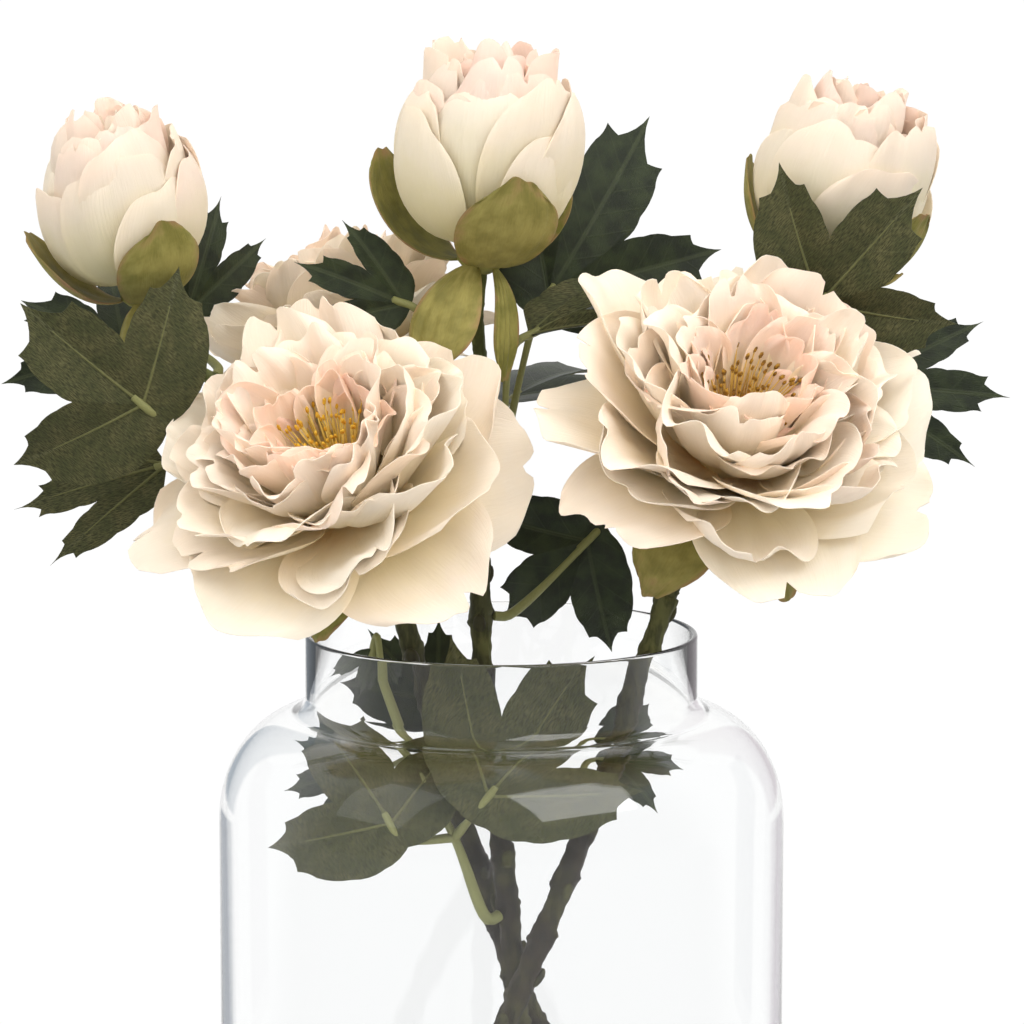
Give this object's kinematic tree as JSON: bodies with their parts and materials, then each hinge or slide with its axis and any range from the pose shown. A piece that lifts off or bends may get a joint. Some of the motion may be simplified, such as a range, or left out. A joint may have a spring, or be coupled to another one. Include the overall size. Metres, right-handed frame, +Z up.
{
  "type": "flower arrangement in a glass jar vase",
  "caption": "Cream silk peonies, full blooms and round buds, on woody leafy sprays that stand in a clear glass jar vase with round shoulders and a short straight neck.",
  "frame": {"origin": "centre of the jar's flat foot, which stands on the XY plane", "axes": "+Z up the jar's axis; -Y is the front, which the two full blooms face; +X to the right seen from the front"},
  "size_m": [0.3272, 0.2107, 0.4406],
  "materials": {
    "jar_glass": "clear, smooth, thin-walled",
    "petal": "matt woven silk, ivory with peach and pale pink",
    "stamen": "matt golden filaments",
    "sepal": "matt olive green with rosy edges",
    "leaf": "dark green woven cloth, olive-brown underside",
    "stem": "brown-green, knobbly like bark"
  },
  "bodies": {
    "root": {"glass_jar": "jar_glass", "stem_left": "stem", "bloom_left_petals": "petal", "bloom_left_stamens": "stamen", "bloom_left_calyx": "sepal", "bud_left_petals": "petal", "bud_left_calyx": "sepal", "stem_middle": "stem", "bloom_middle_petals": "petal", "bloom_middle_stamens": "stamen", "bloom_middle_calyx": "sepal", "bud_middle_petals": "petal", "bud_middle_calyx": "sepal", "stem_right": "stem", "bloom_right_petals": "petal", "bloom_right_stamens": "stamen", "bloom_right_calyx": "sepal", "bud_right_petals": "petal", "bud_right_calyx": "sepal", "leaf_left_front": "leaf", "leaf_left_low": "leaf", "leaf_left_behind_bud": "leaf", "leaf_left_far": "leaf", "leaf_left_neck": "leaf", "leaf_jar_front": "leaf", "leaf_behind_middle_bud": "leaf", "leaf_middle_left": "leaf", "leaf_middle_curled": "leaf", "leaf_back_high": "leaf", "leaf_centre_back": "leaf", "leaf_right_front": "leaf", "leaf_right_far": "leaf", "leaf_right_back": "leaf", "leaf_jar_right": "leaf"}
  },
  "joints": []
}
